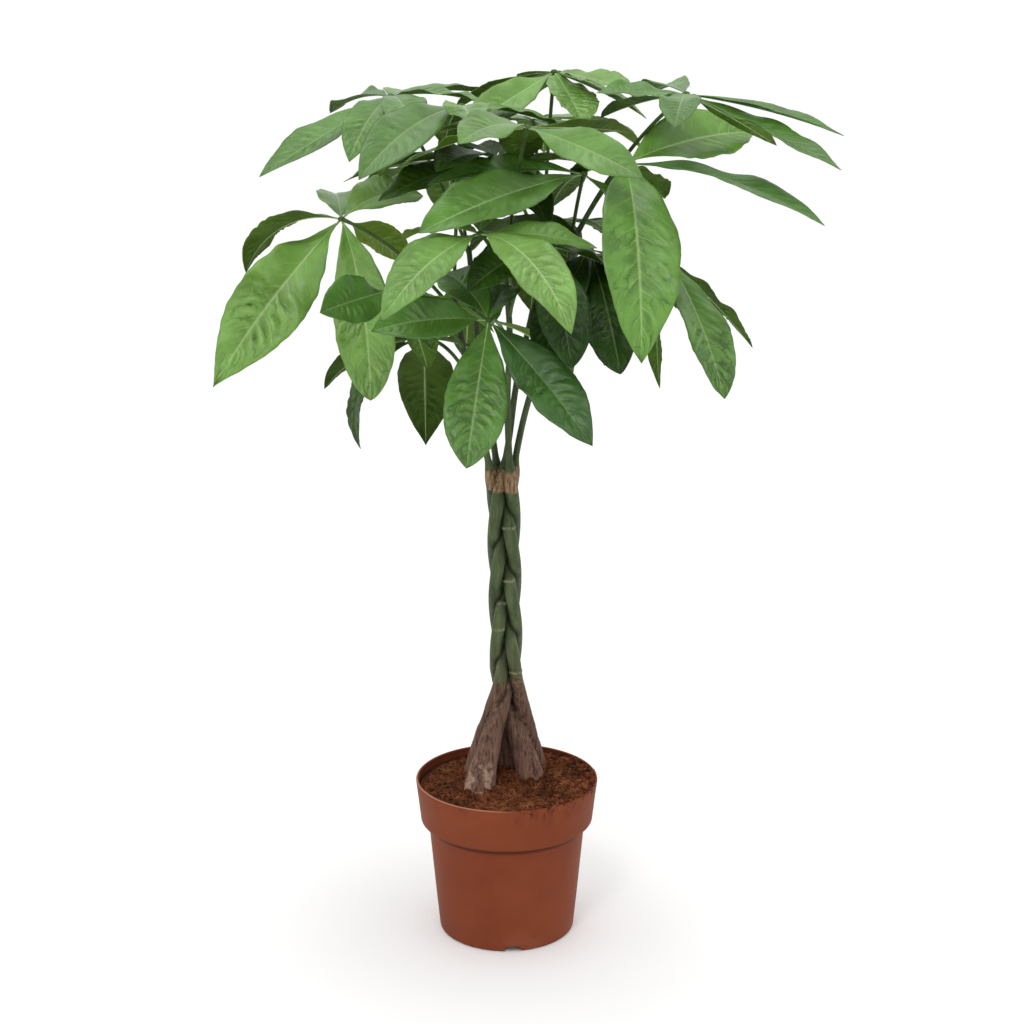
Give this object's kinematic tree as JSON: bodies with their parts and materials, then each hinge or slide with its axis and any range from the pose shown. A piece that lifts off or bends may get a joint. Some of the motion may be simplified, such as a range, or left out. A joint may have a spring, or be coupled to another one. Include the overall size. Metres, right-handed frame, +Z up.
{
  "type": "potted money tree",
  "caption": "Money tree with a braided trunk of young stems, a wide crown of glossy palmate leaves, in a round tapered plastic nursery pot filled with soil.",
  "frame": {"origin": "centre of the pot's foot ring, on the surface that the pot stands on, within a few millimetres of the middle of the whole plant's box", "axes": "+Z up along the pot's axis, -Y to the front that the picture shows, +X to the right"},
  "size_m": [0.529, 0.5108, 0.7996],
  "materials": {
    "pot": "moulded terracotta-coloured plastic, smooth and slightly satin, a little dusty",
    "soil": "moist reddish-brown coir potting soil with golden fibres",
    "stem": "dull green bark above, fissured brown-grey bark at the feet, light woody rings below the green shoots",
    "leaf_mid_green": "satin mid-green leaf with pale midribs",
    "leaf_deep_green": "glossy deep green leaf with pale midribs",
    "leaf_light_green": "satin light green young leaf with pale midribs"
  },
  "bodies": {
    "root": {"pot": "pot", "soil": "soil", "trunk_1": "stem", "trunk_2": "stem", "trunk_3": "stem", "trunk_4": "stem", "trunk_5": "stem", "leaf_a": "leaf_light_green", "leaf_f": "leaf_mid_green", "leaf_i": "leaf_mid_green", "leaf_g": "leaf_light_green", "leaf_e": "leaf_light_green", "leaf_h": "leaf_mid_green", "leaf_k": "leaf_light_green", "leaf_c": "leaf_light_green", "leaf_b": "leaf_mid_green", "leaf_d": "leaf_mid_green", "leaf_o": "leaf_mid_green", "leaf_l": "leaf_deep_green", "leaf_j": "leaf_deep_green", "leaf_n": "leaf_mid_green", "leaf_m": "leaf_deep_green", "leaf_q": "leaf_deep_green", "leaf_r": "leaf_mid_green", "leaf_s": "leaf_deep_green", "leaf_t": "leaf_mid_green", "leaf_u": "leaf_light_green"}
  },
  "joints": []
}
